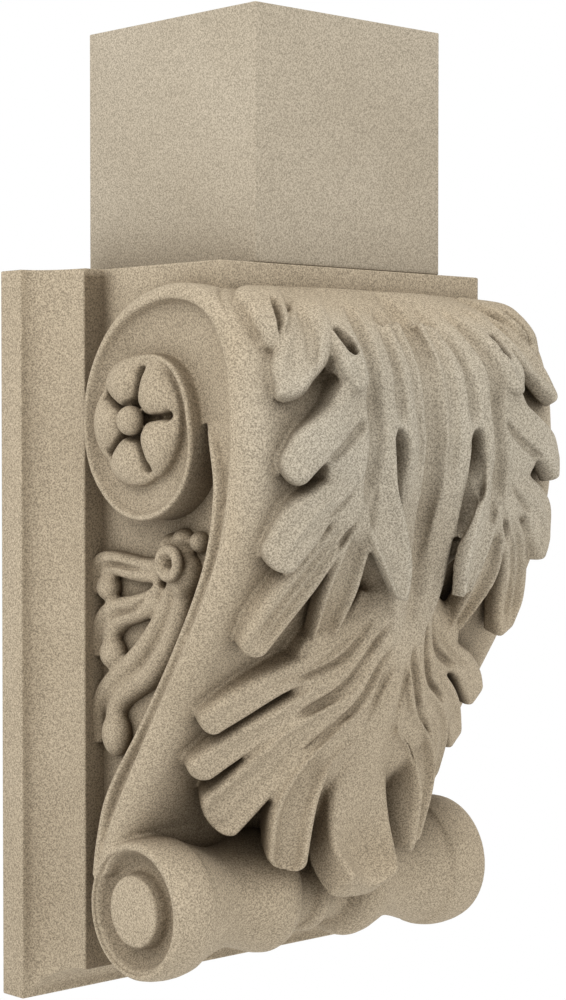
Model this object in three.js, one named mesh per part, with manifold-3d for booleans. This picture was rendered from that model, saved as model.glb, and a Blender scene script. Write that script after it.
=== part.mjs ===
// Carved stone corbel: a wall plate, a console with an S-shaped scroll on each side, an acanthus leaf down
// the front and a plain block on top. Millimetres, +X right, +Y into the wall, +Z up.
// The origin is the centre of the plate's back, which is bedded against the wall.
import * as THREE from "three";
import { mergeVertices } from "three/addons/utils/BufferGeometryUtils.js";
import Module from "manifold-3d";

const wasm = await Module();
wasm.setup();

// Wall plate
const corbelHeight = 450;
const plateWidth = 293;
const plateEdge = 20.5; // thickness of the plate at its rim
const plateDepth = 57; // from the wall to the plate's front
const coveReach = 21; // how far the hollow moulding comes in from the rim
// Console
const consoleWidth = 222.5;
const ledgeDepth = 164.5;
const scrollWidth = 268;
const shoulder = 18; // rounding of the scroll's front edges
const channelDepth = 4.5; // hollow of the scroll's side faces
const rimWidth = 4.5;
// Block on the ledge
const blockWidth = 158;
const blockDepth = 156.5;
const blockHeight = 153;
const blockFromWall = 3.5;
const bedJoint = 0.4;
// Roll at the foot
const rollRadius = 40;
const rollFlare = 3; // how far the ends swell past the roll's own radius
const eyeRadius = 21.5;
// Rosette in the volute
const rosetteRadius = 38.5;
const rosetteRise = 8; // how far the petals swell past the scroll's side
const slotDepth = 9; // between the petals
const buttonRadius = 9;
const petalCount = 5;
const petalTurn = 0.716; // angle of the first petal from straight forward
const buttonRise = 12; // past the scroll's side
// Carving on the side panels
const tendrilRise = 9.5;
// Leaf
const leafThickness = 12; // of the free tips
const leafRoot = 34; // depth of a lobe where it springs from the leaf
const edgeRound = 6; // rounding of a lobe's edges
const spoonThickness = 17; // of the tip over the roll

// The carving is drawn on a corbel of this height and scroll width, and follows the sizes that are set.
const drawnHeight = 450;
const drawnScroll = 268;
const carving = corbelHeight / drawnHeight;
const halfScroll = scrollWidth / 2;
const halfConsole = consoleWidth / 2;
const spread = scrollWidth / drawnScroll; // the leaf's breadth follows the scrolls

// Points are [forward, up] from the foot of the plate's back.
const eye = [115.5, 357];
const rollCentre = [112, 66.2];
const frontLine = [
  [88, 84],
  [104, 107],
  [121, 139],
  [149, 185],
  [178, 231],
  [203, 278],
  [213, 308],
  [216.5, 335],
  [216, 357],
];
const backLine = [
  [72, 82],
  [76.5, 107],
  [87, 136],
  [119.3, 181],
  [151, 230],
  [173, 271.6],
  [181.5, 306],
  [180.5, 333],
  [165.5, 357],
];
// Radius of the volute's rim about its eye, every 45 degrees from the front, over the top and round
const coilStep = 45;
const coilRim = [93, 89, 67, 54, 50, 53.5, 58.5, 57, 47.5, 45, 36];
// Extra reach of the front face past the rim, at the same places
const coilLip = [7.5, 7, 8, 2, 0.5, 0.5, 0.5, 0.5, 0.5, 0.5, 0.5];

const limestone = new THREE.MeshStandardMaterial({ color: 0xb5a78e, roughness: 0.95, metalness: 0 });
const cleanStone = new THREE.MeshStandardMaterial({ color: 0xc0b29a, roughness: 0.95, metalness: 0 });

// Point in space from a distance across, forward and up
const at = (across, forward, up) => new THREE.Vector3(across, -forward, up);
const lerp = THREE.MathUtils.lerp;
const clamp = THREE.MathUtils.clamp;
const smooth = (t, a, b) => THREE.MathUtils.smoothstep(t, Math.min(a, b), Math.max(a, b));

// Value at t from 0 to 1 along evenly spaced figures, on a smooth curve
function along(figures, t) {
  const place = clamp(t, 0, 1) * (figures.length - 1);
  const k = Math.min(Math.floor(place), figures.length - 2);
  const [a, b, c, d] = [k - 1, k, k + 1, k + 2].map((n) => figures[clamp(n, 0, figures.length - 1)]);
  const f = place - k;
  return b + 0.5 * f * (c - a + f * (2 * a - 5 * b + 4 * c - d + f * (3 * (b - c) + d - a)));
}

// Closed skin over rings of equal length, with a flat cap on each end
function skin(rings) {
  const count = rings[0].length;
  const points = rings.flat();
  const faces = [];
  for (let r = 0; r + 1 < rings.length; r++)
    for (let k = 0; k < count; k++) {
      const a = r * count + k;
      const b = r * count + ((k + 1) % count);
      faces.push(a, b, b + count, a, b + count, a + count);
    }
  for (const [ring, first] of [[rings[0], 0], [rings.at(-1), (rings.length - 1) * count]]) {
    const middle = ring.reduce((sum, p) => sum.add(p), new THREE.Vector3()).divideScalar(count);
    const hub = points.push(middle) - 1;
    for (let k = 0; k < count; k++) {
      const next = first + ((k + 1) % count);
      if (first === 0) faces.push(hub, next, first + k);
      else faces.push(hub, first + k, next);
    }
  }
  const geometry = new THREE.BufferGeometry().setFromPoints(points);
  geometry.setIndex(faces);
  return geometry;
}

// Solid of a closed geometry, turned to face outwards
function solid(geometry) {
  const bare = new THREE.BufferGeometry();
  bare.setAttribute("position", geometry.getAttribute("position"));
  bare.setIndex(geometry.index);
  const merged = mergeVertices(bare, 1e-4);
  const vertProperties = new Float32Array(merged.attributes.position.array);
  const triVerts = new Uint32Array(merged.index.array);
  const made = new wasm.Manifold(new wasm.Mesh({ numProp: 3, vertProperties, triVerts }));
  if (made.volume() > 0) return made;
  for (let i = 0; i < triVerts.length; i += 3)
    [triVerts[i + 1], triVerts[i + 2]] = [triVerts[i + 2], triVerts[i + 1]];
  return new wasm.Manifold(new wasm.Mesh({ numProp: 3, vertProperties, triVerts }));
}

// Outline in [forward, up], drawn right across the corbel
function across(outline, halfWidth) {
  return solid(skin([-halfWidth, halfWidth].map((x) => outline.map(([f, z]) => at(x, f, z)))));
}

function join(solids) {
  return solids.reduce((sum, s) => sum.add(s));
}

// The same solid on both sides of the middle
function bothSides(made) {
  return made.add(made.mirror([1, 0, 0]));
}

// Wall plate with a hollow moulding round the sides and foot
function plate() {
  const steps = 5;
  const frame = (inset, depth) => {
    const half = plateWidth / 2 - inset;
    return [at(-half, depth, inset), at(half, depth, inset), at(half, depth, corbelHeight),
      at(-half, depth, corbelHeight)];
  };
  const rings = [frame(0, 0)];
  for (let k = 0; k <= steps; k++) {
    const turn = (k / steps) * (Math.PI / 2);
    rings.push(frame(coveReach * Math.sin(turn), plateDepth - (plateDepth - plateEdge) * Math.cos(turn)));
  }
  return solid(skin(rings));
}

// Places along the scroll from the roll up the front and round the volute
function scrollStations() {
  const stations = [];
  const bandSteps = 9;
  for (let k = 0; k < bandSteps; k++) {
    const t = k / bandSteps;
    const free = 1 - smooth(t, 0.86, 1); // the band's own edge stands clear of the volute here
    stations.push({
      front: [along(frontLine.map((p) => p[0]), t), along(frontLine.map((p) => p[1]), t)],
      back: [along(backLine.map((p) => p[0]), t), along(backLine.map((p) => p[1]), t)],
      lip: shoulder,
      backRim: free,
      hollow: lerp(2 * channelDepth, channelDepth, free),
    });
  }
  const turns = ((coilRim.length - 1) * coilStep) / 360;
  const coilSteps = 16;
  for (let k = 0; k <= coilSteps; k++) {
    const t = k / coilSteps;
    const angle = t * turns * 2 * Math.PI;
    const spoke = [Math.cos(angle), Math.sin(angle)];
    const rim = along(coilRim, t);
    const lip = along(coilLip, t);
    const innerTurn = t + 1 / turns;
    const core = rosetteRadius - 4 - 10 * smooth(t, 0.8, 1);
    const inner = innerTurn <= 1 ? along(coilRim, innerTurn) - 1 : core;
    stations.push({
      front: [eye[0] + spoke[0] * (rim + lip), eye[1] + spoke[1] * (rim + lip)],
      back: [eye[0] + spoke[0] * inner, eye[1] + spoke[1] * inner],
      lip: lerp(lip + 1.5, shoulder, 1 - smooth(angle, 0, 0.9)),
      backRim: 0,
      hollow: channelDepth * (2 - smooth(angle, 0.6, 2.6)),
    });
  }
  return stations;
}

// The S-scroll, full width, with rimmed and hollowed side faces and a rounded front
function scroll() {
  const rings = scrollStations().map(({ front, back, lip, backRim, hollow }) => {
    const reach = Math.hypot(front[0] - back[0], front[1] - back[1]);
    const rim = rimWidth / reach;
    const edge = Math.min(lip / reach, 0.6);
    const half = [
      [0, halfScroll - lerp(hollow, 0.5, backRim)],
      [rim, halfScroll - lerp(hollow, 0.5, backRim)],
      [rim * 1.7, halfScroll - hollow],
      [lerp(rim * 1.7, 1 - edge, 0.45), halfScroll - hollow],
      [1 - edge - rim * 0.3, halfScroll - hollow * 0.35],
      [1 - edge * 0.9, halfScroll],
      [1 - edge * 0.3, halfScroll - lip * 0.3],
      [1, halfScroll - lip],
    ];
    const place = ([u, x]) => at(x, lerp(back[0], front[0], u) * carving, lerp(back[1], front[1], u) * carving);
    return [...half.map(place), ...half.reverse().map(([u, x]) => place([u, -x]))];
  });
  return solid(skin(rings));
}

// Body between the side panels, from the wall to the scroll, with the ledge on top
function consoleBody() {
  const top = corbelHeight;
  const outline = [
    [0, 28],
    [92, 40],
    [104, 100],
    [118, 160],
    [150, 212],
    [182, 262],
    [198, 320],
    [196, 360],
    [184, 400],
    [ledgeDepth / carving, 424],
  ].map(([f, z]) => [f * carving, z * carving]);
  return across([...outline, [ledgeDepth, top], [0, top]], halfConsole);
}

// Half of the roll's outline as [from the middle, radius], the right half
function rollProfile() {
  const end = halfScroll;
  const r = rollRadius;
  return [
    [0, r - 9],
    [6, r - 11],
    [10, r - 15],
    [23, r - 15],
    [26, r - 6],
    [35, r - 1],
    [50, r - 4],
    [66, r - 9],
    [end - 31, r - 0.5],
    [end - 30, r + 1],
    [end - 15, r + rollFlare],
    [end, r],
    [end, r - rimWidth],
    [end - 6, r - rimWidth - 4],
    [end - 6, eyeRadius + 1],
    [end + 0.5, eyeRadius],
    [end + 0.5, 0],
  ];
}

// Roll at the foot of the scroll, turned about its own axis
function roll() {
  const half = rollProfile();
  const profile = [...half.slice(1).reverse().map(([x, r]) => [-x, r]), ...half];
  const turned = new THREE.LatheGeometry(profile.map(([x, r]) => new THREE.Vector2(r * carving, x)), 16);
  turned.rotateZ(-Math.PI / 2);
  turned.translate(0, -rollCentre[0] * carving, rollCentre[1] * carving);
  return solid(turned);
}

// Rosette: round petals parted by narrow slots, about a button
function rosette() {
  const columns = [-1, -0.86, -0.4, 0.4, 0.86];
  const floor = halfConsole - 2;
  const profile = [[1, -3], [0.92, 3], [0.7, rosetteRise], [0.42, rosetteRise - 1], [0.24, -2]];
  const rings = [[], ...profile.map(() => [])];
  for (let p = 0; p < petalCount; p++)
    for (const c of columns) {
      const angle = ((p + 0.5 * c) * 2 * Math.PI) / petalCount + petalTurn;
      const rim = rosetteRadius * (1 - 0.05 * c * c);
      rings[0].push([rim, floor, angle]);
      profile.forEach(([share, swell], r) => {
        const slot = c === -1 && r > 0 ? slotDepth : 0;
        rings[r + 1].push([rim * share, halfScroll + swell * (1 - 0.4 * c * c) - slot, angle]);
      });
    }
  const place = ([radius, x, angle]) =>
    at(x, (eye[0] + radius * Math.cos(angle)) * carving, (eye[1] + radius * Math.sin(angle)) * carving);
  const petals = solid(skin(rings.map((ring) => ring.map(place))));
  return petals.add(knob([halfScroll, ...eye], [buttonRise, buttonRadius, buttonRadius]));
}

// Rounded lump at [across, forward, up] with its radii in the same order
function knob([x, f, z], [wide, deep, tall]) {
  const ball = new THREE.SphereGeometry(1, 7, 5);
  ball.scale(wide, deep * carving, tall * carving);
  ball.translate(x, -f * carving, z * carving);
  return solid(ball);
}

// Ribs of the tendrils on the side panel, each with its half width from root to end
const tendrils = [
  { line: [[117, 271], [88, 272], [66, 274], [57, 266], [59, 252]], from: 4, to: 3 },
  { line: [[117, 266], [91, 266.5], [74, 268.5], [65, 261]], from: 4, to: 4 },
  { line: [[118, 260], [97, 248.5], [71, 243], [58, 230], [58, 213]], from: 4, to: 3.4 },
  { line: [[116, 252], [94, 241], [75, 234.5], [68, 220]], from: 4.5, to: 5.5 },
  { line: [[128, 260], [109, 229.5], [80, 205.3], [59, 185.3], [58, 160]], from: 5.5, to: 4 },
  { line: [[137, 256], [121, 221], [92, 197.5], [71.5, 172]], from: 6, to: 6.5 },
];
// Buds at their ends and lumps of the husk that they spring from, as centre and size in [forward, up]
const buds = [[[67.5, 256], [8, 7.5]], [[71.5, 216], [9, 9]], [[75, 167], [10.5, 12.5]]];
const huskLumps = [[[133, 272], [13, 15]], [[138, 262], [9, 12]], [[126, 283], [8, 9]], [[150, 286], [6.5, 6.5]]];

function tendril({ line, from, to }) {
  const curve = new THREE.CatmullRomCurve3(line.map(([f, z]) => at(0, f * carving, z * carving)));
  const steps = line.length + 1;
  const rings = [];
  for (let k = 0; k <= steps; k++) {
    const t = k / steps;
    const middle = curve.getPointAt(t);
    const side = curve.getTangentAt(t).cross(new THREE.Vector3(1, 0, 0)).normalize();
    const half = lerp(from, to, t) * carving;
    rings.push([[-1, -6], [-0.9, tendrilRise * 0.7], [0, tendrilRise], [0.9, tendrilRise * 0.7], [1, -6]]
      .map(([u, lift]) => middle.clone().addScaledVector(side, u * half).setX(halfConsole + lift)));
  }
  return solid(skin(rings));
}

// All the carving of one side panel
function panelCarving() {
  const knobs = [...buds, ...huskLumps].map(([centre, size]) => knob([halfConsole + 2, ...centre], [9, ...size]));
  return join([...tendrils.map(tendril), ...knobs]);
}

// The leaf's general surface: height, half width, and how far forward it is from its middle to its edge
const leafSurface = [
  [436, 84, 180, 180, 171],
  [410, 84, 209, 214, 214],
  [394, 78, 221, 225, 231],
  [377, 84, 228, 231, 235],
  [350, 94, 231, 233, 235],
  [318, 88, 227, 231, 231],
  [288, 76, 221, 231, 226],
  [275, 56, 217, 227, 223],
  [262, 44, 212, 222, 219],
  [250, 50, 208, 208, 199],
  [235, 62, 205, 201, 195],
  [205, 68, 198, 195, 185],
  [175, 59, 183, 185, 178],
  [146, 36, 168, 169, 170],
  [125, 26, 164, 162, 158],
];

// Front of the scroll under the leaf, at a height
function groundAt(up) {
  const line = [...frontLine, [204, 397], [188, 422], [150, 443]];
  const k = clamp(line.findIndex(([, z]) => z > up), 1, line.length - 1);
  const [[f0, z0], [f1, z1]] = [line[k - 1], line[k]];
  return lerp(f0, f1, (up - z0) / (z1 - z0));
}

// Sheet that the lobes spring from
function leafSheet() {
  const rings = leafSurface.map(([up, half, middle, between, edge]) => {
    const back = groundAt(up) - 8;
    const front = [[-1, back], [-0.97, edge - 3], [-0.5, between], [0, middle], [0.5, between], [0.97, edge - 3],
      [1, back]];
    return [...front, [0, back - 10]].map(([u, f]) => at(u * half * spread, f * carving, up * carving));
  });
  return solid(skin(rings));
}

// Each lobe of the right half: pairs of points [across, forward, up] on its upper and lower edge, from root to
// tip, how far the tip rounds past them and how deep its face is hollowed
const lobes = [
  { tip: 5, hollow: 0, rows: [[[96, 163, 436], [74, 176, 436]], [[120, 190, 422], [93, 193, 424]],
    [[124, 208, 404], [113, 211, 405]]] },
  { tip: 9, hollow: 2, rows: [[[70, 178, 433], [56, 186, 431]], [[104, 211, 407], [74, 221, 408]],
    [[119, 221, 375], [98, 230, 380]]] },
  { tip: 5, hollow: -3, rows: [[[66, 192, 428], [37, 196, 426]], [[77, 229, 398], [49, 226, 398]],
    [[73, 239, 378], [60, 237, 380]]] },
  { tip: 8, hollow: 0, rows: [[[60, 232, 380], [50, 230, 346]], [[95, 234, 360], [84, 237, 337]],
    [[118, 227, 340], [107, 236, 323]]] },
  { tip: 8, hollow: -1, rows: [[[58, 234, 340], [46, 231, 318]], [[98, 231, 318], [81, 231, 300]],
    [[119, 218, 291], [104, 224, 275]]] },
  { tip: 7, hollow: 3, rows: [[[56, 234, 326], [44, 231, 312]], [[88, 226, 289], [70, 224, 279]],
    [[117, 192, 230], [98, 192, 222]]] },
  { tip: 9, hollow: 3, rows: [[[53, 232, 322], [42, 230, 320]], [[71, 223, 279], [49, 224, 274]],
    [[68, 202, 239], [48, 203, 235]]] },
  { tip: 5, hollow: 2, rows: [[[45, 206, 418], [24, 208, 415]], [[48, 235, 355], [30, 232, 352]],
    [[46, 233, 296], [20, 231, 298]], [[24, 220, 253], [5, 215, 256]]] },
  { tip: 6, hollow: 0, rows: [[[34, 203, 258], [20, 206, 250]], [[66, 191, 219], [52, 188, 204]],
    [[119, 161, 189], [106, 159, 177]]] },
  { tip: 8, hollow: 1, rows: [[[20, 207, 248], [11, 206, 240]], [[55, 189, 202], [43, 187, 190]],
    [[113, 152, 162], [97, 152, 149]]] },
  { tip: 9, hollow: 2, rows: [[[12, 207, 240], [5, 205, 232]], [[50, 188, 187], [36, 186, 172]],
    [[100, 145, 136], [80, 150, 117]]] },
  { tip: 7, hollow: 4, rows: [[[7, 205, 234], [2, 204, 226]], [[43, 185, 168], [30, 182, 154]],
    [[69, 166, 124], [46, 176, 119]], [[66, 160, 101], [47, 172, 98]]] },
];

function lobe({ rows, tip, hollow }) {
  const place = ([x, f, z]) => at(x * spread, f * carving, z * carving);
  const edges = [0, 1].map((side) => new THREE.CatmullRomCurve3(rows.map((pair) => place(pair[side]))));
  const steps = [0, 0.3, 0.55, 0.8, 1];
  const stations = steps.map((t) => {
    const [upper, lower] = edges.map((edge) => edge.getPoint(t));
    const [upperRun, lowerRun] = edges.map((edge) => edge.getTangent(t));
    const half = upper.clone().sub(lower).divideScalar(2);
    const run = upperRun.add(lowerRun).normalize();
    const face = half.clone().cross(run).normalize();
    if (face.y > 0) face.negate();
    const depth = lerp(leafRoot, leafThickness, smooth(t, 0.35, 0.8));
    return { middle: upper.add(lower).divideScalar(2), half, run, face, depth };
  });
  const end = stations.at(-1);
  for (const turn of [Math.PI / 4, Math.PI * 0.46]) {
    const middle = end.middle.clone().addScaledVector(end.run, tip * Math.sin(turn) * carving)
      .addScaledVector(end.face, -3.5 * (1 - Math.cos(turn)) * carving);
    const share = Math.cos(turn);
    const half = end.half.clone().multiplyScalar(share);
    stations.push({ ...end, middle, half, depth: end.depth * lerp(0.5, 1, share) });
  }
  const rings = stations.map(({ middle, half, face, depth }, k) => {
    const groove = k > 0 && k < steps.length - 1 ? hollow : 0;
    return [[-0.9, -depth], [-1, -edgeRound], [-0.7, 0], [0, -groove], [0.7, 0], [1, -edgeRound], [0.9, -depth]]
      .map(([u, lift]) => middle.clone().addScaledVector(half, u).addScaledVector(face, lift * carving));
  });
  return solid(skin(rings));
}

// Spoon-shaped lowest tip, which hangs over the roll: its middle line, half widths and hollows
const spoonLine = [[205, 238], [203, 215], [194, 190], [184, 171], [175, 152], [169, 133], [167, 112], [169, 95],
  [175, 83]];
const spoonHalf = [8, 10, 13, 17, 22, 26, 28, 27, 22];
const spoonHollow = [0, 2, 3, 4, 5, 6, 6, 4, 2];

function spoon() {
  const curve = new THREE.CatmullRomCurve3(spoonLine.map(([f, z]) => at(0, f * carving, z * carving)));
  const side = new THREE.Vector3(1, 0, 0);
  const steps = [0, 0.2, 0.4, 0.55, 0.7, 0.82, 0.92, 1];
  const turns = [...steps.map(() => 0), 0.7, 1.2];
  const rings = turns.map((turn, k) => {
    const t = steps[Math.min(k, steps.length - 1)];
    const run = curve.getTangent(t);
    const face = side.clone().cross(run).normalize();
    if (face.y > 0) face.negate();
    const middle = curve.getPoint(t).addScaledVector(run, 7 * Math.sin(turn) * carving)
      .addScaledVector(face, -5 * (1 - Math.cos(turn)) * carving);
    const half = along(spoonHalf, t) * Math.cos(turn) * spread;
    const hollow = along(spoonHollow, t) * Math.cos(turn);
    const depth = spoonThickness * lerp(0.5, 1, Math.cos(turn));
    return [[-0.9, -depth], [-1, -edgeRound], [-0.75, 0], [0, -hollow], [0.75, 0], [1, -edgeRound], [0.9, -depth]]
      .map(([u, lift]) => middle.clone().addScaledVector(side, u * half).addScaledVector(face, lift * carving));
  });
  return solid(skin(rings));
}

// Room between the wall, the floor of the plate and the ledge's top, which are dressed flat
function dressedBed() {
  const bed = new THREE.BoxGeometry(2 * corbelHeight, corbelHeight, corbelHeight);
  bed.translate(0, -corbelHeight / 2, corbelHeight / 2);
  return solid(bed);
}

// One stone: plate, console, scrolls, roll and all the carving, solid right through
function corbel() {
  const sides = [rosette(), panelCarving(), ...lobes.map(lobe)];
  const made = join([plate(), consoleBody(), scroll(), roll(), leafSheet(), spoon(), ...sides.map(bothSides)]);
  const shells = made.intersect(dressedBed()).decompose();
  return join(shells.filter((shell) => shell.volume() > 0));
}

// Geometry of a solid, for drawing
function drawn(made) {
  const { vertProperties, numProp, triVerts } = made.getMesh();
  const geometry = new THREE.BufferGeometry();
  const points = [];
  for (let i = 0; i < vertProperties.length; i += numProp)
    points.push(new THREE.Vector3().fromArray(vertProperties, i));
  geometry.setFromPoints(points);
  geometry.setIndex(Array.from(triVerts));
  return geometry;
}

const stone = new THREE.Mesh(drawn(corbel()), limestone);
stone.name = "carved_corbel";

const topBlock = new THREE.Mesh(new THREE.BoxGeometry(blockWidth, blockDepth, blockHeight), cleanStone);
topBlock.name = "top_block";
topBlock.position.set(0, -(blockFromWall + blockDepth / 2), corbelHeight + bedJoint + blockHeight / 2);

const group = new THREE.Group();
group.add(stone, topBlock);
group.position.z = -corbelHeight / 2;

export default group;
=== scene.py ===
import bmesh
import bpy
import math
import numpy as np
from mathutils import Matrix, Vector


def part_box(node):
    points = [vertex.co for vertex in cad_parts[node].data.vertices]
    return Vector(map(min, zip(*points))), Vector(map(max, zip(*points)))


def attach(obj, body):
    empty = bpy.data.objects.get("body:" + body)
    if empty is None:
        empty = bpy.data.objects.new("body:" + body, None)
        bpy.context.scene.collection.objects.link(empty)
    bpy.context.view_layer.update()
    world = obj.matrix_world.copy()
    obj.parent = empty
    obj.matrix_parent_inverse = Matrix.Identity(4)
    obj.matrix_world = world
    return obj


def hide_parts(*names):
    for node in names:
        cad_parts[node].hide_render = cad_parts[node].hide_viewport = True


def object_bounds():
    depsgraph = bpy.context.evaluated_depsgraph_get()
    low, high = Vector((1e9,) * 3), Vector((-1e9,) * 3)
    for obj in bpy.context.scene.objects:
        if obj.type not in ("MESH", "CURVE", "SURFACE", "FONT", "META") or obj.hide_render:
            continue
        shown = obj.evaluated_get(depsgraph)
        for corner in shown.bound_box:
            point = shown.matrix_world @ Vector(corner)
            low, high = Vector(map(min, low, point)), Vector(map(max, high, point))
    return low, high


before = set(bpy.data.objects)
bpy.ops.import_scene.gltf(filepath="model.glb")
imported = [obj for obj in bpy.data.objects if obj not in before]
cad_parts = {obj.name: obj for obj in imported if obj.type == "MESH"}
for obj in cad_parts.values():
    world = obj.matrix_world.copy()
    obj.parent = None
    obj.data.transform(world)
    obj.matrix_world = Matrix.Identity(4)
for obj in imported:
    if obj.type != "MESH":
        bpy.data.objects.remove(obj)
cadLow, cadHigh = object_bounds()
stoneLow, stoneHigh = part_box("carved_corbel")
blockLow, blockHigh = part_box("top_block")
scene = bpy.context.scene

# Shapes are drawn in millimetres as (across, forward, up) from the foot of the plate's back
foot = stoneLow.z
height = (stoneHigh.z - stoneLow.z) * 1000
plateHalf = (stoneHigh.x - stoneLow.x) * 500
halfScroll = 134.0  # half the width over both scrolls
halfConsole = 111.25  # half the width of the body between them
eye = (115.5, 357.0)  # the volutes' centre, as (forward, up)
rollCentre = (112.0, 66.2)


def toScene(points):
    p = np.asarray(points, float).reshape(-1, 3)
    return np.column_stack((p[:, 0], -p[:, 1], p[:, 2] + foot * 1000)) / 1000


def smooth(t, a, b):
    s = np.clip((np.asarray(t, float) - a) / (b - a), 0, 1)
    return s * s * (3 - 2 * s)


def lerp(a, b, t):
    return a + (b - a) * t


# Smooth curve through evenly spaced rows of figures, t from 0 to 1
def along(rows, t):
    rows = np.asarray(rows, float)
    place = min(max(t, 0.0), 1.0) * (len(rows) - 1)
    k = min(int(place), len(rows) - 2)
    a, b, c, d = (rows[min(max(n, 0), len(rows) - 1)] for n in (k - 1, k, k + 1, k + 2))
    f = place - k
    return b + 0.5 * f * (c - a + f * (2 * a - 5 * b + 4 * c - d + f * (3 * (b - c) + d - a)))


# Closed skin over rings of equal length, with a cap on each end
def skin(rings):
    rings = np.asarray(rings, float)
    levels, count = rings.shape[:2]
    points = [*rings.reshape(-1, 3), rings[0].mean(0), rings[-1].mean(0)]
    faces = []
    for r in range(levels - 1):
        for k in range(count):
            a, b = r * count + k, r * count + (k + 1) % count
            faces.append((a, b, b + count, a + count))
    first, last = levels * count, levels * count + 1
    for k in range(count):
        n = (k + 1) % count
        faces.append((first, n, k))
        faces.append((last, (levels - 1) * count + k, (levels - 1) * count + n))
    return np.array(points), faces


# The same shape on the other side of the middle
def mirrored(part):
    points, faces = part
    return points * (-1, 1, 1), [tuple(reversed(f)) for f in faces]


def meshObject(name, parts):
    points, faces, start = [], [], 0
    for p, f in parts:
        points.append(toScene(p))
        faces += [tuple(i + start for i in face) for face in f]
        start += len(p)
    mesh = bpy.data.meshes.new(name)
    mesh.from_pydata(np.vstack(points).tolist(), [], faces)
    mesh.update()
    obj = bpy.data.objects.new(name, mesh)
    scene.collection.objects.link(obj)
    return obj


def applied(obj, kind, **settings):
    modifier = obj.modifiers.new(kind.lower(), kind)
    for key, value in settings.items():
        setattr(modifier, key, value)
    bpy.context.view_layer.objects.active = obj
    for o in bpy.context.selected_objects:
        o.select_set(False)
    obj.select_set(True)
    bpy.ops.object.modifier_apply(modifier=modifier.name)


# Scroll: the outer and inner edge of its band as (forward, up), then the coil's rim round the eye
scroll = {
    "front": [(88, 84), (104, 107), (121, 139), (149, 185), (178, 231), (203, 278), (213, 308), (216.5, 335),
              (216, 357)],
    "back": [(72, 82), (76.5, 107), (87, 136), (119.3, 181), (151, 230), (173, 271.6), (181.5, 306), (180.5, 333),
             (165.5, 357)],
    "rim": [93, 89, 67, 54, 50, 53.5, 58.5, 57, 47.5, 45, 38],  # every 45 degrees round the eye
    "lip": [7.5, 7, 8, 2, 0.5, 0.5, 0.5, 0.5, 0.5, 0.5, 0.5],
    "shoulder": 18,
    "channel": 6,
    "joinChannel": 10,  # where the band meets the coil
    "coilDeeper": 4.5,
    "core": 34.5,
    "coreDrop": 10,
    "rimWidth": 4.2,
    "bandSteps": 50,
    "coilSteps": 110,
}


def scrollSection(front, back, lip, backRim, hollow, rimHere):
    reach = math.hypot(front[0] - back[0], front[1] - back[1])
    rim = scroll["rimWidth"] / reach
    edge = min(lip / reach, 0.6)
    backFace = halfScroll - lerp(hollow, 0.4, backRim)
    half = [(0, backFace - 1.5), (rim * 0.3, backFace), (rim, backFace), (rim * 1.8, halfScroll - hollow)]
    crest = 1 - edge * 0.95
    for k in range(1, 6):
        t = k / 6
        dish = hollow * (1 - 0.25 * t ** 3)
        half.append((lerp(rim * 1.8, crest - rim * 1.4, t), halfScroll - dish))
    half.append((crest - rim * 0.9, halfScroll - hollow * lerp(0.35, 0.6, rimHere)))
    half.append((crest - rim * 0.3, halfScroll - hollow * 0.06))
    for k in range(0, 7):
        turn = k / 6 * math.pi / 2
        half.append((crest + (1 - crest) * math.sin(turn), halfScroll - lip * (1 - math.cos(turn))))
    return [(x, lerp(back[0], front[0], u), lerp(back[1], front[1], u)) for u, x in half]


def scrollPart():
    rings = []
    for k in range(scroll["bandSteps"]):
        t = k / scroll["bandSteps"]
        free = 1 - float(smooth(t, 0.86, 1))
        half = scrollSection(along(scroll["front"], t), along(scroll["back"], t), scroll["shoulder"], free,
                             lerp(scroll["joinChannel"], scroll["channel"], free), 0)
        rings.append(half + [(-x, f, z) for x, f, z in reversed(half)])
    turns = (len(scroll["rim"]) - 1) / 8
    for k in range(scroll["coilSteps"] + 1):
        t = k / scroll["coilSteps"]
        angle = t * turns * 2 * math.pi
        rim, lip = along(scroll["rim"], t), along(scroll["lip"], t)
        inner = t + 1 / turns
        core = scroll["core"] - scroll["coreDrop"] * smooth(t, 0.8, 1)
        hold = along(scroll["rim"], inner) - 1 if inner <= 1 else core
        free = 1 - float(smooth(angle, 0, 0.9))
        spoke = np.array((math.cos(angle), math.sin(angle)))
        hollow = scroll["channel"] + 1 + scroll["coilDeeper"] * (1 - float(smooth(angle, 0.6, 2.6)))
        shoulder = lerp(lip + 1.5, scroll["shoulder"], free)
        half = scrollSection(eye + spoke * (rim + lip), eye + spoke * hold, shoulder, 0, hollow, 1 - free)
        rings.append(half + [(-x, f, z) for x, f, z in reversed(half)])
    return skin(rings)


# Roll at the foot: half its profile as (across, above the radius)
roll = {
    "radius": 40,
    "sides": 96,
    "ring": 35.6,  # the line cut round its end
    "profile": [(0, -9.5), (3, -10), (6, -12), (8, -15), (22, -15), (23.5, -11), (27, -5.5), (31, -2.6),
                (36, -1.4), (43, -2.4), (52, -5.4), (60, -8.2), (68, -9.3), (76, -8.8), (86, -6.2),
                (96, -2.6), (102.5, -0.9), (103.5, 0.9), (107, 1.8), (113, 2.8), (119, 3), (126, 2.4),
                (131.5, 1.2), (133.4, 0), (134, -1.6), (133.8, -3.4), (131, -4.8), (127, -7), (124, -10.5),
                (123, -14), (124.5, -17), (130, -18), (133.6, -18.6), (134.4, -20), (134.4, -24),
                (134.4, -40)],
}


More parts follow.
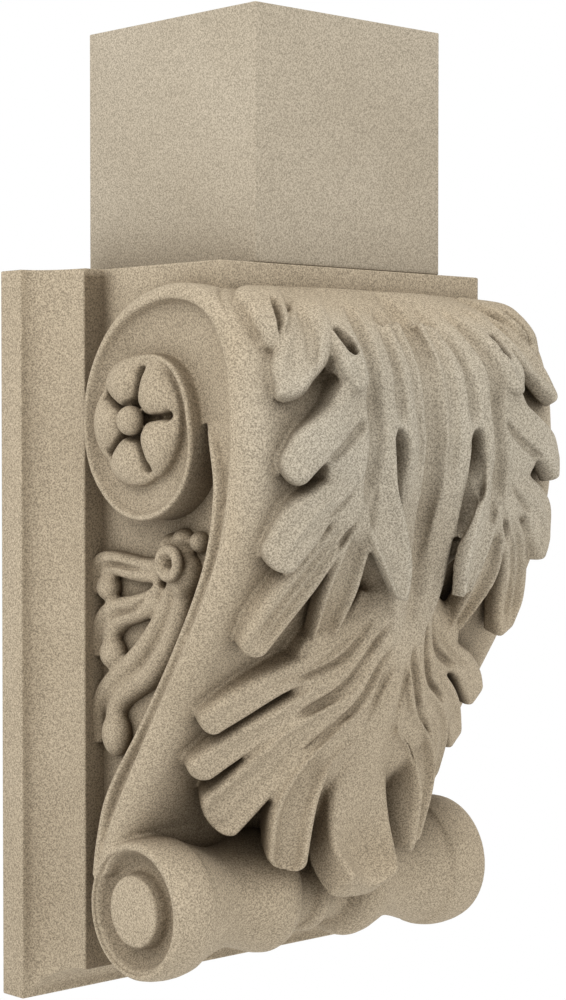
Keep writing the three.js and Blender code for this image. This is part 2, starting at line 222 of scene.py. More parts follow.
def rollPart():
    half = [(x, roll["radius"] + r) for x, r in roll["profile"]]
    profile = [(-x, r) for x, r in reversed(half[1:])] + half
    rings = []
    for x, r in profile:
        turns = [2 * math.pi * k / roll["sides"] for k in range(roll["sides"])]
        rings.append([(x, rollCentre[0] + max(r, 0.2) * math.cos(a), rollCentre[1] + max(r, 0.2) * math.sin(a))
                      for a in turns])
    return skin(rings)


# Rosette in each volute
rosette = {
    "radius": 38.5,
    "petals": 5,
    "turn": 0.716,
    "button": 9.0,
    "buttonStands": 3.5,
    "buttonHalfDepth": 8.4,
    "floor": 122.0,
    "face": 134.0,
    "rise": 11.0,
    "slot": 9,  # how deep the petals are parted
    "dish": 5,  # how deep the middle is sunk
    "sides": 150,
    "rings": 22,
}


def rosetteParts():
    step = 2 * math.pi / rosette["petals"]
    rings = []
    shares = np.linspace(1, 0.12, rosette["rings"])
    sides = rosette["sides"]
    for ring, share in enumerate([1.0, *shares]):
        row = []
        for k in range(sides):
            a = k / sides * 2 * math.pi
            off = abs(((a - rosette["turn"] - step / 2) % step) - step / 2) / (step / 2)  # 0 in a petal's middle
            radius = rosette["radius"] * (1 - 0.05 * off ** 4)
            r = radius * share
            toSlot = (1 - off) * step / 2 * r
            wide = 1.5 + 1.4 * float(smooth(share, 0.45, 0.22)) + 1.3 * math.exp(-((share - 0.8) / 0.05) ** 2)
            slot = (1 - float(smooth(toSlot, wide * 0.6, wide * 1.4))) * (1 - float(smooth(share, 0.82, 0.9)))
            dome = math.sqrt(max(1 - ((share - 0.6) / 0.42) ** 2, 0)) if share > 0.18 else 0
            dome *= 1 - 0.55 * off ** 2
            x = rosette["face"] + rosette["rise"] * dome - 4 - rosette["slot"] * slot
            if share < 0.3:
                x -= rosette["dish"] * float(smooth(share, 0.36, 0.24))
            if ring == 0:
                x = rosette["floor"] - 6
            row.append((x, eye[0] + r * math.cos(a), eye[1] + r * math.sin(a)))
        rings.append(row)
    button = ball((halfScroll + rosette["buttonStands"], *eye),
                  (rosette["buttonHalfDepth"], rosette["button"], rosette["button"]))
    return [skin(rings), button]


def ball(centre, radii, rounds=24):
    rings = []
    for k in range(1, rounds):
        a = math.pi * k / rounds
        rings.append([(centre[0] + radii[0] * math.cos(a), centre[1] + radii[1] * math.sin(a) * math.cos(b),
                       centre[2] + radii[2] * math.sin(a) * math.sin(b))
                      for b in np.linspace(0, 2 * math.pi, rounds, endpoint=False)])
    return skin(rings)


# Tendrils and husk on the side panels, as (forward, up)
strand = {"swell": 1.2, "rise": 9.5, "steps": 44, "under": -8}
tendrils = [
    {"line": [(117, 271), (102, 270.5), (88, 272), (73, 274), (64, 273.5), (58, 269.5), (56.5, 263), (56.5, 256),
              (59, 252)], "half": [4, 4, 4, 3.6, 3.5, 3.5, 3.3, 3, 2.5]},
    {"line": [(117, 266), (105, 265), (91, 266.5), (77, 268.5), (68, 266.5), (65, 261)],
     "half": [4, 4, 4.5, 4.5, 4, 4]},
    {"line": [(118, 260), (110, 253), (97, 248.5), (83, 246), (71, 243), (62.5, 237), (57.8, 229), (56.8, 220),
              (58, 213)], "half": [4, 4, 4.2, 4.2, 4.4, 4.4, 4.2, 3.8, 3]},
    {"line": [(116, 252), (106, 245), (94, 241), (83, 238.5), (75, 234.5), (69.5, 228), (68, 220)],
     "half": [4, 4.5, 4.5, 5, 5.5, 5.5, 5.5]},
    {"line": [(128, 260), (120, 244), (109, 229.5), (95, 216), (80, 205.3), (67.2, 195.8), (58.8, 185.3),
              (56.2, 174), (58, 160)], "half": [4, 5, 5.5, 5.5, 5.2, 5, 4.8, 4.4, 3.4]},
    {"line": [(137, 256), (131, 238), (121, 221), (107, 206), (92, 197.5), (80, 190.5), (73, 181.5), (71.5, 172)],
     "half": [5, 6, 6.5, 6.5, 6.3, 6.3, 6.5, 6.5]},
]
buds = {
    "places": [((68, 256), (8.5, 8.5)), ((72, 216), (10, 10)), ((75, 167), (11.5, 14))],
    "stand": 4,
    "halfDepth": 8,
}
husk = {
    "lumps": [((133, 272), (12, 13, 15)), ((137, 262), (10, 8, 12)), ((143, 268), (9, 7, 10)),
              ((126, 282), (10, 8, 9)), ((150, 286), (7, 6.5, 6.5)), ((120, 270), (9, 8, 7)),
              ((136, 287), (8, 7, 7))],
    "lumpsStand": 2,
    "ring": ((135.5, 273.5), 8, 3.6),
    "ringStands": 14,
}


def ribPart(line, halves):
    rings = []
    for k in range(strand["steps"] + 1):
        t = k / strand["steps"]
        middle = along(line, t)
        run = along(line, t + 0.01) - along(line, t - 0.01)
        side = np.array((run[1], -run[0])) / math.hypot(*run)
        half = strand["swell"] * float(along(halves, t))
        high = strand["rise"] * (0.82 + 0.18 * math.sin(math.pi * t))
        turns = np.linspace(0, math.pi, 9)
        section = [(-1, strand["under"]), *((-math.cos(a), high - half * 0.9 * (1 - math.sin(a))) for a in turns),
                   (1, strand["under"])]
        rings.append([(halfConsole + lift, middle[0] + side[0] * u * half, middle[1] + side[1] * u * half)
                      for u, lift in section])
    return skin(rings)


def ringPart(centre, radius, thick, x, sides=28, around=12):
    rings = []
    for b in np.linspace(0, 2 * math.pi, sides, endpoint=False):
        rings.append([(x + thick * math.sin(a), centre[0] + (radius + thick * math.cos(a)) * math.cos(b),
                       centre[1] + (radius + thick * math.cos(a)) * math.sin(b))
                      for a in np.linspace(0, 2 * math.pi, around, endpoint=False)])
    points, faces = skin(rings)
    count = len(rings) * around
    faces = [f for f in faces if max(f) < count]
    last = (len(rings) - 1) * around
    for k in range(around):
        n = (k + 1) % around
        faces.append((last + k, last + n, n, k))
    return points[:count], faces


def tendrilParts():
    made = [ribPart(one["line"], one["half"]) for one in tendrils]
    made += [ball((halfConsole + buds["stand"], *centre), (buds["halfDepth"], *size))
             for centre, size in buds["places"]]
    made += [ball((halfConsole + husk["lumpsStand"], *centre), size) for centre, size in husk["lumps"]]
    centre, radius, thick = husk["ring"]
    return made + [ringPart(centre, radius, thick, halfConsole + husk["ringStands"])]


# Leaf, its general surface: height, half width, and how far forward it stands from its middle to its edge
leafSurface = [
    (436, 84, 180, 181, 180, 174, 172), (425, 88, 193, 196, 197, 197, 193), (410, 80, 209, 211, 215, 217, 215),
    (394, 74, 221, 222, 226, 230, 232), (380, 75, 227, 229, 232, 234, 235), (367, 84, 229, 232, 234, 233, 234),
    (350, 94, 230, 235, 237, 234, 235), (334, 90, 229, 235, 237, 235, 237), (318, 86, 226, 230, 232, 233, 231),
    (301, 83, 220, 227, 230, 231, 231), (288, 72, 217, 224, 226, 226, 223), (276, 50, 214, 221, 221, 216, 209),
    (266, 34, 213, 219, 219, 213, 204), (258, 30, 212, 218, 218, 211, 201), (250, 42, 211, 216, 210, 202, 197),
    (235, 62, 208, 210, 202, 198, 195), (220, 69, 204, 204, 198, 193, 190), (205, 68, 198, 197, 194, 189, 184),
    (190, 64, 191, 192, 190, 186, 182), (175, 59, 184, 186, 186, 183, 179), (160, 53, 177, 180, 180, 180, 177),
    (146, 42, 170, 171, 172, 174, 172), (130, 34, 165, 164, 163, 161, 158), (105, 24, 160, 160, 158, 156, 152),
]

# What all lobes share, then each lobe of the right half as pairs of points on its two edges, from root to tip
lobeForm = {"deep": 34.0, "thick": 13, "edge": 4.5, "crest": 0.62, "rimCrest": 0.78, "tipDrop": 3.5,
            "steps": 26, "capSteps": 7}
lobes = {
    "crownOuter": {"rows": [[(97, 167, 436), (76, 178, 436)], [(117, 184, 433), (84, 191, 431)],
                            [(120, 197, 424), (92, 202, 425)], [(121, 206, 413), (100, 213, 414)],
                            [(119, 210, 404), (107, 214, 404)]], "hollow": 0, "ridge": 0, "tip": 7, "thick": 18},
    "crownInner": {"rows": [[(70, 178, 433), (56, 186, 431)], [(88, 198, 423), (64, 205, 423)],
                            [(106, 211, 407), (74, 221, 408)], [(118, 217, 391), (84, 229, 393)],
                            [(120, 223, 378), (99, 231, 381)]], "hollow": 2.6, "ridge": 0, "tip": 10},
    "crownPoint": {"rows": [[(66, 192, 428), (37, 196, 426)], [(73, 213, 413), (44, 215, 411)],
                            [(77, 229, 398), (49, 226, 398)], [(77, 236, 388), (52, 231, 390)],
                            [(73, 239, 378), (60, 237, 380)]], "hollow": 0, "ridge": 3, "tip": 5},
    "upper": {"rows": [[(60, 230, 380), (50, 228, 346)], [(78, 234, 370), (66, 233, 342)],
                       [(95, 234, 360), (84, 237, 337)], [(110, 231, 351), (96, 238, 332)],
                       [(118, 227, 340), (107, 236, 323)]], "hollow": 0, "ridge": 0.8, "tip": 8, "thick": 15},
    "middle": {"rows": [[(58, 231, 340), (46, 229, 318)], [(78, 233, 328), (62, 231, 306)],
                        [(98, 231, 318), (81, 231, 300)], [(114, 226, 306), (92, 228, 286)],
                        [(123, 217, 289), (106, 225, 272)]], "hollow": 0, "ridge": 2, "tip": 8, "thick": 16},
    "lower": {"rows": [[(56, 231, 326), (44, 229, 312)], [(72, 230, 306), (57, 229, 296)],
                       [(88, 226, 289), (70, 224, 279)], [(103, 216, 269), (80, 215, 259)],
                       [(115, 203, 245), (89, 202, 239)], [(118, 193, 231), (100, 194, 222)]],
              "hollow": 4, "ridge": 4, "tip": 7, "thick": 15},
    "inner": {"rows": [[(53, 231, 322), (42, 230, 320)], [(63, 229, 300), (46, 230, 298)],
                       [(71, 224, 279), (50, 225, 274)], [(74, 214, 257), (49, 215, 253)],
                       [(66, 195, 229), (49, 197, 227)]],
              "hollow": 6, "ridge": 0, "tip": 7, "thick": 15, "rim": 1},
    "fold": {"rows": [[(45, 206, 418), (24, 208, 415)], [(57, 229, 390), (30, 228, 389)],
                      [(66, 233, 350), (35, 237, 350)], [(67, 232, 325), (37.5, 239, 322)],
                      [(60, 231, 300), (30, 238.5, 298)], [(50, 232, 281), (22.5, 236.5, 272)],
                      [(35, 232, 258), (24, 234, 254)]], "hollow": 3, "ridge": 0, "tip": 5, "thick": 12, "rim": 1},
    "stem": {"rows": [[(27, 210, 416), (5, 209, 416)], [(30, 230, 388), (6, 226, 388)],
                      [(29, 237, 350), (6, 232, 350)], [(27.5, 237, 335), (6, 231, 335)],
                      [(26, 232, 316), (6, 228, 316)], [(24, 227, 298), (4, 222, 298)],
                      [(23, 224, 278), (4, 218, 278)], [(21, 220, 257), (3, 214, 257)],
                      [(17, 215, 240), (2, 211, 240)], [(12, 204, 218), (2, 205, 218)]],
             "hollow": 0, "ridge": 0, "tip": 3},
    "reachA": {"rows": [[(34, 203, 258), (20, 206, 250)], [(48, 197, 232), (34, 197, 218)],
                        [(66, 191, 219), (52, 188, 204)], [(88, 183, 210), (73, 181, 196)],
                        [(110, 171, 197), (94, 169, 182)], [(121, 163, 187), (108, 161, 173)]],
               "hollow": 0, "ridge": 0, "tip": 6},
    "reachB": {"rows": [[(20, 207, 248), (11, 206, 240)], [(38, 197, 213), (26, 195, 201)],
                        [(55, 189, 202), (43, 187, 190)], [(75, 180, 190), (60, 180, 178)],
                        [(96, 166, 176), (80, 166, 164)], [(117, 148, 158), (102, 149, 145)]],
               "hollow": 1.5, "ridge": 0, "tip": 8, "thick": 20},
    "reachC": {"rows": [[(12, 207, 240), (5, 205, 232)], [(30, 197, 200), (17, 195, 186)],
                        [(50, 188, 187), (36, 186, 172)], [(71, 177, 174), (53, 178, 159)],
                        [(87, 163, 157), (66, 166, 136)], [(103, 141, 134), (81, 147, 109)]],
               "hollow": 3, "ridge": 1.2, "tip": 9, "thick": 25, "rim": 1},
    "reachD": {"rows": [[(7, 205, 234), (2, 204, 226)], [(23, 192, 187), (10, 188, 173)],
                        [(43, 185, 168), (30, 182, 154)], [(62, 176, 148), (40, 179, 137)],
                        [(70, 166, 125), (45, 177, 119)], [(68, 158, 97), (46, 171, 91)]],
               "hollow": 6, "ridge": 0, "tip": 8, "thick": 30, "rim": 1},
}

# The spoon-shaped tip over the roll: its middle as (forward, up), and half its width beside each point
spoon = {
    "middle": [(210, 238), (205, 215), (196, 190), (187, 171), (180, 152), (173, 133), (168, 112), (168, 95),
               (177, 80)],
    "half": [8, 10, 13, 17, 21, 24, 26, 26, 21],
    "bow": [0, 2, 4, 6, 7, 4, -3, -8, -9],  # how far the middle swells past the edges
    "thick": 20,
    "edge": 3.5,
    "crest": 0.8,
    "tipOut": 7,
    "tipDrop": 5,
    "steps": 48,
    "capSteps": 8,
}


# How far a cross section stands off its flat, u from -1 to 1 between the edges
def crossLift(u, edge, hollow, ridge, crest):
    out = max(abs(u) - crest, 0) / (1 - crest)
    lift = -edge * (1 - math.sqrt(max(1 - out * out, 0)))
    lift -= hollow * (1 - float(smooth(abs(u), crest - 0.42, crest)))
    return lift + ridge * math.exp(-(u / 0.17) ** 2)


def lobePart(one):
    steps, capSteps = lobeForm["steps"], lobeForm["capSteps"]
    rows = np.array(one["rows"], float)
    shares = np.linspace(-1, 1, 21)
    middles, halves, faces = [], [], []
    for k in range(steps + 1):
        t = k / steps
        a, b = along(rows[:, 0], t), along(rows[:, 1], t)
        ahead = along(rows.mean(1), t + 0.02) - along(rows.mean(1), t - 0.02)
        half = (a - b) / 2
        face = np.cross(half, ahead)
        face /= np.linalg.norm(face)
        if face[1] < 0:
            face = -face
        middles.append((a + b) / 2), halves.append(half), faces.append(face)
    run = middles[-1] - middles[-2]
    run /= np.linalg.norm(run)
    lastMiddle, lastHalf, lastFace = middles[-1], halves[-1], faces[-1]
    for k in range(1, capSteps + 1):
        turn = k / capSteps * math.pi / 2
        drop = lobeForm["tipDrop"] * (1 - math.cos(turn))
        middles.append(lastMiddle + run * one["tip"] * math.sin(turn) - lastFace * drop)
        halves.append(lastHalf * max(math.cos(turn), 0.12))
        faces.append(lastFace)
    rings = []
    for k, (middle, half, face) in enumerate(zip(middles, halves, faces)):
        t = min(k / steps, 1)
        capped = max(k - steps, 0) / capSteps
        depth = lerp(lobeForm["deep"], one.get("thick", lobeForm["thick"]), float(smooth(t, 0.35, 0.8)))
        depth *= math.sqrt(1 - 0.8 * capped ** 2)
        edge = min(lobeForm["edge"], np.linalg.norm(half) * 0.6)
        strength = float(smooth(t, 0.1, 0.5)) * (1 - lerp(0.85, 0, one.get("rim", 0)) * float(smooth(t, 0.82, 1)))
        strength *= math.cos(capped * math.pi / 2)
        hollow, ridge = one["hollow"] * strength, one["ridge"] * strength
        crest = lobeForm["rimCrest" if "rim" in one else "crest"]
        ring = [middle + half * u + face * crossLift(u, edge, hollow, ridge, crest) for u in shares]
        ring += [middle + half * u * 0.98 - face * (depth - edge * 0.4) for u in shares[::-4]]
        rings.append(ring)
    return skin(rings)


def leafBase(steps=119):
    rings = []
    for k in range(steps + 1):
        up, half, *front = along(leafSurface, k / steps)
        shares = np.linspace(0, 1, 17)
        row = [(u * half, float(along(front, u)) - 3.5 * float(smooth(u, 0.9, 1)), up) for u in shares]
        row.append((half, front[-1] - 30, up))
        rings.append([(-x, f, z) for x, f, z in reversed(row)] + row[1:])
    return skin(rings)


def spoonPart():
    rings = []
    steps, capSteps = spoon["steps"], spoon["capSteps"]
    shares = np.linspace(-1, 1, 25)
    for k in range(steps + capSteps + 1):
        t = min(k / steps, 1)
        capped = max(k - steps, 0) / capSteps * math.pi / 2
        middle = along(spoon["middle"], t)
        run = along(spoon["middle"], t + 0.02) - along(spoon["middle"], t - 0.02)
        run /= math.hypot(*run)
        face = np.array((-run[1], run[0])) if run[1] < 0 else np.array((run[1], -run[0]))
        drop = spoon["tipDrop"] * (1 - math.cos(capped))
        middle = middle + run * spoon["tipOut"] * math.sin(capped) - face * drop
        half = float(along(spoon["half"], t)) * max(math.cos(capped), 0.3)
        bow = float(along(spoon["bow"], t)) * math.cos(capped)
        thick = spoon["thick"] * math.sqrt(1 - 0.75 * math.sin(capped) ** 2)
        ring = []
        for u in shares:
            lift = crossLift(u, spoon["edge"], 0, 0, spoon["crest"]) - bow * u * u
            ring.append((u * half, *(middle + face * lift)))
        for u in shares[::-3]:
            ring.append((u * half * 0.95, *(middle - face * (thick + 0.5 * max(bow, 0)))))
        rings.append(ring)
    return skin(rings)


# All carved parts are grown into one skin, softened, grooved and thinned to the faces allowed
carve = {"voxel": 0.00115, "softening": 4, "faces": 186000}
print("building the carving")
oneSide = tendrilParts() + rosetteParts()
oneSide += [lobePart(one) for one in lobes.values()]
carvingParts = [scrollPart(), rollPart(), leafBase(), spoonPart(), *oneSide, *map(mirrored, oneSide)]
carving = meshObject("carving", carvingParts)
applied(carving, "REMESH", mode="VOXEL", voxel_size=carve["voxel"])
applied(carving, "SMOOTH", factor=0.5, iterations=carve["softening"])
print("carving:", len(carving.data.polygons), "faces")

# Grooves and drilled holes, as lines in space with how deep and how wide they are cut
cuts = [
    {"line": [(40, 197, 425), (47, 215, 410), (52, 231, 391), (53, 235, 369), (53, 237, 345), (55, 235, 322),
              (57, 232, 306)], "deep": 5.5, "wide": 8},
    {"line": [(16, 196, 425), (27, 218, 402), (31, 231, 375), (31, 236, 354)], "deep": 3, "wide": 6},
    {"line": [(33.5, 238, 353), (33, 238, 344), (32.5, 238, 336), (32, 238, 328), (31.5, 237, 318),
              (31, 236, 308)], "deep": 16, "wide": 7},
    {"line": [(0, 180, 436), (0, 198, 421), (0, 216, 402), (0, 229, 375), (0, 231, 346), (0, 228, 325),
              (0, 221, 298), (0, 212, 271)], "deep": 4.5, "wide": 10},
    {"line": [(14, 196, 425), (15, 218, 402), (15, 231, 375), (14, 234, 346), (13, 230, 320)], "deep": 2.4,
     "wide": 5},
    {"line": [(67, 216, 412), (67, 224, 405), (66, 231, 395)], "deep": 12, "wide": 4.5},
    {"line": [(82, 197, 425), (86, 212, 411), (92, 222, 396), (96, 227, 384)], "deep": 2, "wide": 5},
    {"line": [(97, 194, 433), (102, 203, 424), (105, 209, 416), (108, 213, 404)], "deep": 6, "wide": 3.2},
    {"line": [(104, 160, 438), (121, 178, 431), (128, 190, 422), (130, 200, 411), (126, 208, 401)], "deep": 2.5,
     "wide": 4},
    {"line": [(60, 234, 357), (75, 235, 344), (92, 236, 333)], "deep": 3, "wide": 4},
    {"line": [(56, 232, 338), (69, 230, 316), (88, 229, 300)], "deep": 4, "wide": 3.5},
    {"line": [(51, 231, 323), (61, 229, 303), (75, 225, 281)], "deep": 3.5, "wide": 3},
    {"line": [(33, 238, 346), (32.5, 238, 337), (32, 236, 328), (30.5, 233, 314), (29, 230, 300), (27, 226, 284),
              (25, 222, 268)], "deep": 7, "wide": 5},
    {"line": [(51, 232, 318), (52, 231, 306), (52, 230, 294)], "deep": 2.5, "wide": 4},
    {"line": [(26, 209, 244), (40, 197, 217), (69, 184, 203)], "deep": 4, "wide": 3.6},
    {"line": [(17, 210, 236), (36, 194, 200), (64, 179, 182)], "deep": 4, "wide": 3.6},
    {"line": [(9, 206, 222), (27, 192, 186), (44, 184, 170), (59, 177, 159)], "deep": 4, "wide": 4},
    {"line": [(5, 203, 212), (17, 190, 173), (28, 184, 157), (38, 179, 144)], "deep": 3.5, "wide": 3.4},
    {"line": [(30, 202, 235), (60, 189, 212), (85, 182, 201), (102, 172, 190)], "deep": 1.5, "wide": 2.6},
    {"line": [(40, 194, 202), (65, 184, 186), (85, 173, 172)], "deep": 1.5, "wide": 2.6},
    {"line": [(38, 190, 185), (60, 182, 168), (79, 169, 151)], "deep": 1.8, "wide": 2.6},
    {"line": [(10, 200, 210), (12, 190, 180), (14, 181, 155), (12, 174, 135)], "deep": 1.6, "wide": 3},
    {"line": [(halfScroll, rollCentre[0] + roll["ring"] * math.cos(a), rollCentre[1] + roll["ring"] * math.sin(a))
              for a in np.linspace(1.6, 5.6, 15)], "deep": 2, "wide": 2.2},
    {"side": [(113, 268.5), (95, 269), (80, 270.5), (69, 269.5), (62, 263)], "deep": 4, "wide": 2.4},
    {"side": [(113, 256), (97, 245), (80, 241), (69, 235.5), (63, 227)], "deep": 4, "wide": 2.4},
    {"side": [(126, 252), (112, 225), (92, 206), (74, 194), (65, 182), (63, 168)], "deep": 4.5, "wide": 2.8},
    {"line": [(128, 135.5, 276), (128, 135.5, 271)], "deep": 11, "wide": 4.5},
    {"side": [(125, 283), (127, 280)], "deep": 6, "wide": 2.8},
    {"side": [(119, 288), (123, 287)], "deep": 7, "wide": 2.8},
]


def cutGrooves(obj, samples=30, reach=16):
    mesh = obj.data
    count = len(mesh.vertices)
    points = np.zeros(count * 3)
    mesh.vertices.foreach_get("co", points)
    normals = np.zeros(count * 3)
    mesh.vertices.foreach_get("normal", normals)
    points, normals = points.reshape(-1, 3), normals.reshape(-1, 3)
    depth = np.zeros(count)
    for cut in cuts:
        drawn = cut.get("line") or [(halfConsole + 10, f, z) for f, z in cut["side"]]
        for sign in (1, -1):
            line = toScene([along(np.array(drawn) * (sign, 1, 1), t) for t in np.linspace(0, 1, samples)]) * 1000
            low, high = line.min(0) - reach, line.max(0) + reach
            near = np.where(((points * 1000 > low) & (points * 1000 < high)).all(1))[0]
            start, step = line[:-1], np.diff(line, axis=0)
            gaps = points[near][:, None, :] * 1000 - start
            share = np.clip((gaps * step).sum(2) / np.maximum((step ** 2).sum(1), 1e-9), 0, 1)
            away = np.linalg.norm(gaps - share[..., None] * step, axis=2)
            k = away.argmin(1)
            place = (k + share[np.arange(len(near)), k]) / (samples - 1)
            away = away[np.arange(len(near)), k]
            fade = smooth(place, -0.05, 0.2) * smooth(1 - place, -0.05, 0.2)  # both ends run out to a point
            wide = cut["wide"] * (0.45 + 0.55 * fade)
            sunk = cut["deep"] * fade * (1 - smooth(away / wide, 0.25, 1))
            depth[near] = np.maximum(depth[near], sunk)
    moved = points - normals * (depth / 1000)[:, None]
    mesh.vertices.foreach_set("co", moved.ravel())
    mesh.update()


cutGrooves(carving)
applied(carving, "SMOOTH", factor=0.4, iterations=1)
faceCount = len(carving.data.polygons) * 2
if faceCount > carve["faces"]:
    applied(carving, "DECIMATE", ratio=carve["faces"] / faceCount)
print("carving:", len(carving.data.polygons), "triangles")

# Plate and console body, kept crisp
plate = {
    "edge": 20.5,
    "depth": 57,
    "cove": 21,
    "steps": 14,
    "arris": 0.0009,
    # the console's side as (forward, up), from inside the plate
    "console": [(50, 34.5), (92, 40), (104, 100), (118, 160), (150, 212), (182, 262), (198, 320), (196, 360),
                (184, 400), (164.5, 424), (164.5, height), (57, height), (50, height - 7)],
}


def plateParts():
    rings = []

    def frameRing(inset, depth):
        half = plateHalf - inset
        return [(-half, depth, inset), (half, depth, inset), (half, depth, height), (-half, depth, height)]
    rings.append(frameRing(0, 0))
    for k in range(plate["steps"] + 1):
        turn = k / plate["steps"] * math.pi / 2
        rings.append(frameRing(plate["cove"] * math.sin(turn),
                               plate["depth"] - (plate["depth"] - plate["edge"]) * math.cos(turn)))
    body = [[(x, f, z) for f, z in plate["console"]] for x in (-halfConsole, halfConsole)]
    return [skin(rings), skin(body)]


stone = meshObject("corbel_stone", plateParts())
work = bmesh.new()
work.from_mesh(stone.data)
bmesh.ops.recalc_face_normals(work, faces=work.faces)
work.to_mesh(stone.data)
work.free()
applied(stone, "BEVEL", width=plate["arris"], segments=2, limit_method="ANGLE", angle_limit=math.radians(40))

bpy.context.view_layer.objects.active = stone
for o in (carving, stone):
    o.select_set(True)
bpy.ops.object.join()

# Nothing stands past the stone's own bed, foot or ledge
skinDepth = 0.00002
points = np.zeros(len(stone.data.vertices) * 3)
stone.data.vertices.foreach_get("co", points)
points = points.reshape(-1, 3)
points = np.clip(points, np.array(stoneLow) + skinDepth, np.array(stoneHigh) - skinDepth)
stone.data.vertices.foreach_set("co", points.ravel())
stone.data.update()
stone.data.shade_smooth()
print("stone:", len(stone.data.polygons), "faces")

# Block on the ledge
blockArris = 0.0008
bpy.ops.mesh.primitive_cube_add(size=1, location=(blockLow + blockHigh) / 2)
block = bpy.context.active_object
block.name = "ledge_block"
block.scale = blockHigh - blockLow
bpy.ops.object.transform_apply(location=True, scale=True)
applied(block, "BEVEL", width=blockArris, segments=3)
block.data.shade_smooth()
print("block:", len(block.data.polygons), "faces")


# Stone finishes: sand grain, broad clouds, painted shade in the hollows, a washed front, painted shade in the
# plate's corners
limestone = {
    "roughness": 0.92,
    "specular": 0.25,
    "grain": {"Scale": 1000, "Detail": 2, "Roughness": 0.8},
    "grainTurn": (0.6, 0.5, 0.4),  # flat faces would else lie along the noise's own grid
    "grainRamp": (0.39, 0.6),
    "bump": 0.6,
    "bumpHeight": 0.0006,
    "cloud": {"Scale": 16, "Detail": 4},
    "cloudRamp": (0.35, 0.65),
    "cloudColour": (0.78, 0.76, 0.72),
    "cloudShare": 0.35,
    # Painted shade: the colour is darkened in hollows by ambient occlusion, towards the shade colour below
    "hollowReach": 0.06,
    "hollowRange": (0.15, 0.92),
    "grimeColour": (0.22, 0.18, 0.13),
    "washRange": (-0.2, -0.235),  # where the front turns greyer, forward in the scene
    "unwashed": (1, 0.957, 0.9),
    "washed": (1, 1.03, 1.07),
    # Painted shade: a dark strip on the plate's front beside the console, where its shadow falls
    "cornerSide": (0.1262, 0.125),
    "cornerFront": (-0.072, -0.059),
    "cornerBack": (-0.055, -0.0565),
    "cornerTop": (0.2248, 0.22),
}


def stoneMaterial(name, warm, grey, deep, corner):
    material = bpy.data.materials.new(name)
    material.use_nodes = True
    nodes, links = material.node_tree.nodes, material.node_tree.links
    nodes.clear()

    def node(kind, inputs=None, **settings):
        made = nodes.new(kind)
        for key, value in settings.items():
            setattr(made, key, value)
        for key, value in (inputs or {}).items():
            if isinstance(value, bpy.types.NodeSocket):
                links.new(value, made.inputs[key])
            else:
                made.inputs[key].default_value = value
        return made

    def ranged(source, start, end, to=(0, 1)):
        return node("ShaderNodeMapRange", {"Value": source, "From Min": start, "From Max": end, "To Min": to[0],
                                           "To Max": to[1]}).outputs["Result"]

    def worked(operation, *sources):
        return node("ShaderNodeMath", dict(enumerate(sources)), operation=operation).outputs[0]

    def mixed(blend, share, first, second):
        return node("ShaderNodeMix", {0: share, 6: first, 7: second}, data_type="RGBA",
                    blend_type=blend).outputs[2]

    def ramp(source, places, colours):
        made = node("ShaderNodeValToRGB", {"Fac": source})
        for element, place, colour in zip(made.color_ramp.elements, places, colours):
            element.position = place
            element.color = (*colour, 1)
        return made.outputs["Color"]

    place = node("ShaderNodeTexCoord").outputs["Object"]
    turned = node("ShaderNodeMapping", {"Vector": place, "Rotation": limestone["grainTurn"]}).outputs["Vector"]
    grain = node("ShaderNodeTexNoise", {"Vector": turned, **limestone["grain"]}).outputs["Fac"]
    broad = node("ShaderNodeTexNoise", {"Vector": place, **limestone["cloud"]}).outputs["Fac"]
    speckle = ramp(grain, limestone["grainRamp"], (grey, warm))
    cloud = ramp(broad, limestone["cloudRamp"], (limestone["cloudColour"], (1, 1, 1)))
    colour = mixed("MULTIPLY", limestone["cloudShare"], speckle, cloud)

    parts = node("ShaderNodeSeparateXYZ", {0: place}).outputs
    washed = mixed("MIX", ranged(parts["Y"], *limestone["washRange"]), (*limestone["unwashed"], 1),
                   (*limestone["washed"], 1))
    colour = mixed("MULTIPLY", 1, colour, washed)

    # Painted shade in hollows and creases, computed from ambient occlusion
    shade = node("ShaderNodeAmbientOcclusion", {"Distance": limestone["hollowReach"]}, samples=6)
    grime = ranged(shade.outputs["AO"], *limestone["hollowRange"], (deep, 0))
    # Painted shade: the plate's front strip beside the console is darkened as if in shadow
    beside = ranged(worked("ABSOLUTE", parts["X"]), *limestone["cornerSide"])
    strip = worked("MULTIPLY", ranged(parts["Y"], *limestone["cornerBack"]),
                   ranged(parts["Z"], *limestone["cornerTop"]))
    painted_corner_shade = worked("MULTIPLY", worked("MULTIPLY", beside, strip),
                  ranged(parts["Y"], *limestone["cornerFront"], (0, corner)))
    colour = mixed("MULTIPLY", worked("MAXIMUM", grime, painted_corner_shade), colour, (*limestone["grimeColour"], 1))

    bump = node("ShaderNodeBump", {"Height": grain, "Strength": limestone["bump"],
                                   "Distance": limestone["bumpHeight"]})
    shader = node("ShaderNodeBsdfPrincipled", {"Base Color": colour, "Roughness": limestone["roughness"],
                                               "Specular IOR Level": limestone["specular"],
                                               "Normal": bump.outputs["Normal"]})
    node("ShaderNodeOutputMaterial", {0: shader.outputs[0]})
    print("finish:", name)
    return material


# The last two figures set how strong the painted shade is, in the hollows and in the plate's corner
finishes = {
    "carved": stoneMaterial("carved_limestone", (0.56, 0.485, 0.37), (0.25, 0.213, 0.157), 1.0, 0.75),
    "block": stoneMaterial("block_limestone", (0.54, 0.486, 0.396), (0.29, 0.26, 0.205), 0.6, 0),
}
for obj, finish, node, slot in ((stone, "carved", "carved_corbel", "carved_limestone"),
                                (block, "block", "top_block", "block_limestone")):
    obj.data.materials.clear()
    obj.data.materials.append(finishes[finish])
    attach(obj, "root")
    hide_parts(node)

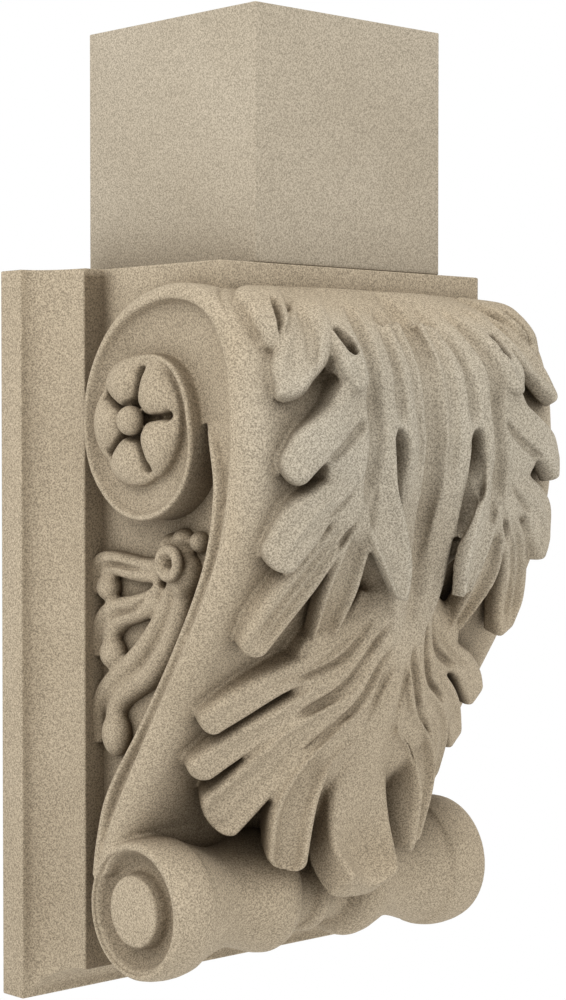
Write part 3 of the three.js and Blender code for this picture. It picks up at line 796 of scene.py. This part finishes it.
# Pale floor, soft light and the photograph's camera
studio = {
    "floorSize": 3,
    "floorDrop": 1.2,
    "paint": (0.9, 0.9, 0.9, 1),
    "paintRoughness": 0.9,
    "sky": 1.0,
    "aim": (0, -0.1, 0.05),
    "lampSize": 0.9,
    "lamps": {"key": ((-1.7, -0.5, 1.3), 16), "front": ((0.9, -2.0, 1.2), 8)},
}
bpy.ops.mesh.primitive_plane_add(size=studio["floorSize"], location=(0, 0, cadLow.z - studio["floorDrop"]))
floor = bpy.context.active_object
floor.name = "pale_floor"
paint = bpy.data.materials.new("pale_floor")
paint.use_nodes = True
paint.node_tree.nodes["Principled BSDF"].inputs["Base Color"].default_value = studio["paint"]
paint.node_tree.nodes["Principled BSDF"].inputs["Roughness"].default_value = studio["paintRoughness"]
floor.data.materials.append(paint)

world = bpy.data.worlds.new("studio")
scene.world = world
world.use_nodes = True
world.node_tree.nodes["Background"].inputs["Color"].default_value = (1, 1, 1, 1)
world.node_tree.nodes["Background"].inputs["Strength"].default_value = studio["sky"]

for name, (place, power) in studio["lamps"].items():
    lamp = bpy.data.lights.new(name, "AREA")
    lamp.size = studio["lampSize"]
    lamp.energy = power
    obj = bpy.data.objects.new(name, lamp)
    scene.collection.objects.link(obj)
    obj.location = place
    obj.rotation_euler = (Vector(studio["aim"]) - Vector(place)).to_track_quat("-Z", "Y").to_euler()

view = {"place": (-0.99423, -1.15927, 0.12174), "yaw": 43.1719, "pitch": -1.5452, "lens": 82.66, "sensor": 36}
camera = bpy.data.objects.new("camera", bpy.data.cameras.new("camera"))
scene.collection.objects.link(camera)
scene.camera = camera
yaw, pitch = math.radians(view["yaw"]), math.radians(view["pitch"])
look = Vector((math.cos(pitch) * math.sin(yaw), math.cos(pitch) * math.cos(yaw), math.sin(pitch)))
camera.location = view["place"]
camera.rotation_euler = look.to_track_quat("-Z", "Y").to_euler()
camera.data.lens = view["lens"]
camera.data.sensor_width = view["sensor"]
scene.view_settings.view_transform = "Standard"
print("floor, light and camera are set")
